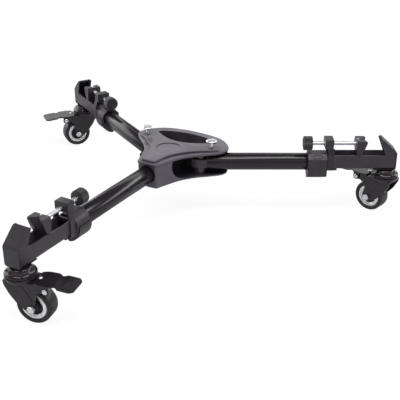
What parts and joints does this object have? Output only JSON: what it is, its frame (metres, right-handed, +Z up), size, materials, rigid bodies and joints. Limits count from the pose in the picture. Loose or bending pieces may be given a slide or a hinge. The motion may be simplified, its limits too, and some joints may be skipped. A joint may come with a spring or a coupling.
{
  "type": "tripod dolly",
  "caption": "Folding spreader base for a camera tripod: arms with screw clamps for the tripod's feet radiate from a hub with a carry slot and roll on braked swivel casters.",
  "frame": {"origin": "middle of the outer box on the floor, with the arms open", "axes": "+Z up; -Y along the fixed arm, away from the hub; +X to the right of someone who looks along +Y"},
  "size_m": [0.702, 0.5935, 0.1343],
  "materials": {
    "hub_paint": "satin dark grey",
    "tube_paint": "gloss black",
    "bracket_paint": "satin black",
    "caster_black": "gloss black",
    "plated_steel": "bright plated",
    "black_plastic": "moulded matt black",
    "pale_rim": "smooth pale",
    "black_tyre": "matt rubber"
  },
  "bodies": {
    "hub": {"hub_housing": "hub_paint", "hub_cover": "hub_paint", "pivot_bolt_left": "plated_steel", "pivot_bolt_right": "plated_steel", "arm_tube_front": "tube_paint", "collar_front": "black_plastic"},
    "arm_left": {"pivot_fitting_left": "black_plastic", "arm_tube_left": "tube_paint", "collar_left": "black_plastic"},
    "arm_right": {"pivot_fitting_right": "black_plastic", "arm_tube_right": "tube_paint", "collar_right": "black_plastic"},
    "pin_left": {"lock_pin_left": "plated_steel"},
    "pin_right": {"lock_pin_right": "plated_steel"},
    "end_front": {"inner_tube_front": "tube_paint", "screw_bracket_front": "bracket_paint", "foot_channel_front": "bracket_paint", "end_stop_front": "bracket_paint", "caster_race_front": "caster_black"},
    "end_left": {"inner_tube_left": "tube_paint", "screw_bracket_left": "bracket_paint", "foot_channel_left": "bracket_paint", "end_stop_left": "bracket_paint", "caster_race_left": "caster_black"},
    "end_right": {"inner_tube_right": "tube_paint", "screw_bracket_right": "bracket_paint", "foot_channel_right": "bracket_paint", "end_stop_right": "bracket_paint", "caster_race_right": "caster_black"},
    "lever_front": {"collar_lever_front": "black_plastic"},
    "lever_left": {"collar_lever_left": "black_plastic"},
    "lever_right": {"collar_lever_right": "black_plastic"},
    "jaw_front": {"jaw_front": "bracket_paint"},
    "jaw_left": {"jaw_left": "bracket_paint"},
    "jaw_right": {"jaw_right": "bracket_paint"},
    "screw_front": {"clamp_screw_front": "plated_steel", "knob_front": "black_plastic"},
    "screw_left": {"clamp_screw_left": "plated_steel", "knob_left": "black_plastic"},
    "screw_right": {"clamp_screw_right": "plated_steel", "knob_right": "black_plastic"},
    "fork_front": {"caster_fork_front": "caster_black", "axle_front": "plated_steel", "brake_pin_front": "plated_steel"},
    "fork_left": {"caster_fork_left": "caster_black", "axle_left": "plated_steel", "brake_pin_left": "plated_steel"},
    "fork_right": {"caster_fork_right": "caster_black", "axle_right": "plated_steel", "brake_pin_right": "plated_steel"},
    "wheel_front": {"wheel_rim_front": "pale_rim", "wheel_tyre_front": "black_tyre"},
    "wheel_left": {"wheel_rim_left": "pale_rim", "wheel_tyre_left": "black_tyre"},
    "wheel_right": {"wheel_rim_right": "pale_rim", "wheel_tyre_right": "black_tyre"},
    "pedal_front": {"brake_pedal_front": "caster_black"},
    "pedal_left": {"brake_pedal_left": "caster_black"},
    "pedal_right": {"brake_pedal_right": "caster_black"}
  },
  "joints": [
    {"name": "fold_left", "type": "hinge", "parent": "hub", "child": "arm_left", "pos_m": [-0.02846, 0.11169, 0.091], "axis": [0, 0, 1], "range_deg": [0, 110]},
    {"name": "fold_right", "type": "hinge", "parent": "hub", "child": "arm_right", "pos_m": [0.06508, 0.11169, 0.091], "axis": [0, 0, -1], "range_deg": [0, 110]},
    {"name": "lock_left", "type": "slide", "parent": "hub", "child": "pin_left", "axis": [0, 0, 1], "range_m": [-0.007, 0]},
    {"name": "lock_right", "type": "slide", "parent": "hub", "child": "pin_right", "axis": [0, 0, 1], "range_m": [-0.007, 0]},
    {"name": "extend_front", "type": "slide", "parent": "hub", "child": "end_front", "axis": [0, -1, 0], "range_m": [0, 0.08]},
    {"name": "extend_left", "type": "slide", "parent": "arm_left", "child": "end_left", "axis": [-0.866, 0.5, 0], "range_m": [0, 0.08]},
    {"name": "extend_right", "type": "slide", "parent": "arm_right", "child": "end_right", "axis": [0.866, 0.5, 0], "range_m": [0, 0.08]},
    {"name": "collar_lever_front", "type": "hinge", "parent": "hub", "child": "lever_front", "pos_m": [0.00781, -0.15931, 0.0721], "axis": [0, 1, 0], "range_deg": [0, 100]},
    {"name": "collar_lever_left", "type": "hinge", "parent": "arm_left", "child": "lever_left", "pos_m": [-0.18775, 0.21579, 0.0721], "axis": [0.866, -0.5, 0], "range_deg": [0, 100]},
    {"name": "collar_lever_right", "type": "hinge", "parent": "arm_right", "child": "lever_right", "pos_m": [0.23487, 0.1976, 0.0721], "axis": [-0.866, -0.5, 0], "range_deg": [0, 100]},
    {"name": "jaw_slide_front", "type": "slide", "parent": "end_front", "child": "jaw_front", "axis": [0, -1, 0], "range_m": [-0.03, 0.015]},
    {"name": "jaw_slide_left", "type": "slide", "parent": "end_left", "child": "jaw_left", "axis": [-0.866, 0.5, 0], "range_m": [-0.025, 0.02]},
    {"name": "jaw_slide_right", "type": "slide", "parent": "end_right", "child": "jaw_right", "axis": [0.866, 0.5, 0], "range_m": [-0.03, 0.015]},
    {"name": "screw_turn_front", "type": "hinge", "parent": "jaw_front", "child": "screw_front", "pos_m": [0.01831, -0.14331, 0.123], "axis": [0, -1, 0], "range_deg": [-8640, 4320]},
    {"name": "screw_turn_left", "type": "hinge", "parent": "jaw_left", "child": "screw_left", "pos_m": [-0.17914, 0.19869, 0.123], "axis": [-0.866, 0.5, 0], "range_deg": [-7200, 5760]},
    {"name": "screw_turn_right", "type": "hinge", "parent": "jaw_right", "child": "screw_right", "pos_m": [0.21576, 0.19869, 0.123], "axis": [0.866, 0.5, 0], "range_deg": [-8640, 4320]},
    {"name": "swivel_front", "type": "hinge", "parent": "end_front", "child": "fork_front", "pos_m": [0.01831, -0.27381, 0.071], "axis": [0, 0, 1], "continuous": true},
    {"name": "swivel_left", "type": "hinge", "parent": "end_left", "child": "fork_left", "pos_m": [-0.29216, 0.26394, 0.071], "axis": [0, 0, 1], "continuous": true},
    {"name": "swivel_right", "type": "hinge", "parent": "end_right", "child": "fork_right", "pos_m": [0.32878, 0.26394, 0.071], "axis": [0, 0, 1], "continuous": true},
    {"name": "roll_front", "type": "hinge", "parent": "fork_front", "child": "wheel_front", "pos_m": [0.03787, -0.26965, 0.0254], "axis": [-0.2079, 0.9781, 0], "continuous": true},
    {"name": "roll_left", "type": "hinge", "parent": "fork_left", "child": "wheel_left", "pos_m": [-0.30392, 0.24776, 0.0254], "axis": [0.809, -0.5878, 0], "continuous": true},
    {"name": "roll_right", "type": "hinge", "parent": "fork_right", "child": "wheel_right", "pos_m": [0.30929, 0.26844, 0.0254], "axis": [-0.225, -0.9744, 0], "continuous": true},
    {"name": "brake_front", "type": "hinge", "parent": "fork_front", "child": "pedal_front", "pos_m": [0.06037, -0.26487, 0.057], "axis": [-0.2079, 0.9781, 0], "range_deg": [0, 12]},
    {"name": "brake_left", "type": "hinge", "parent": "fork_left", "child": "pedal_left", "pos_m": [-0.31744, 0.22916, 0.057], "axis": [0.809, -0.5878, 0], "range_deg": [0, 12]},
    {"name": "brake_right", "type": "hinge", "parent": "fork_right", "child": "pedal_right", "pos_m": [0.28688, 0.27362, 0.057], "axis": [-0.225, -0.9744, 0], "range_deg": [0, 12]}
  ],
  "couplings": [
    {"joint": "screw_turn_front", "follows": "jaw_slide_front", "rad_per_m": 5026.5},
    {"joint": "screw_turn_left", "follows": "jaw_slide_left", "rad_per_m": 5026.5},
    {"joint": "screw_turn_right", "follows": "jaw_slide_right", "rad_per_m": 5026.5}
  ]
}
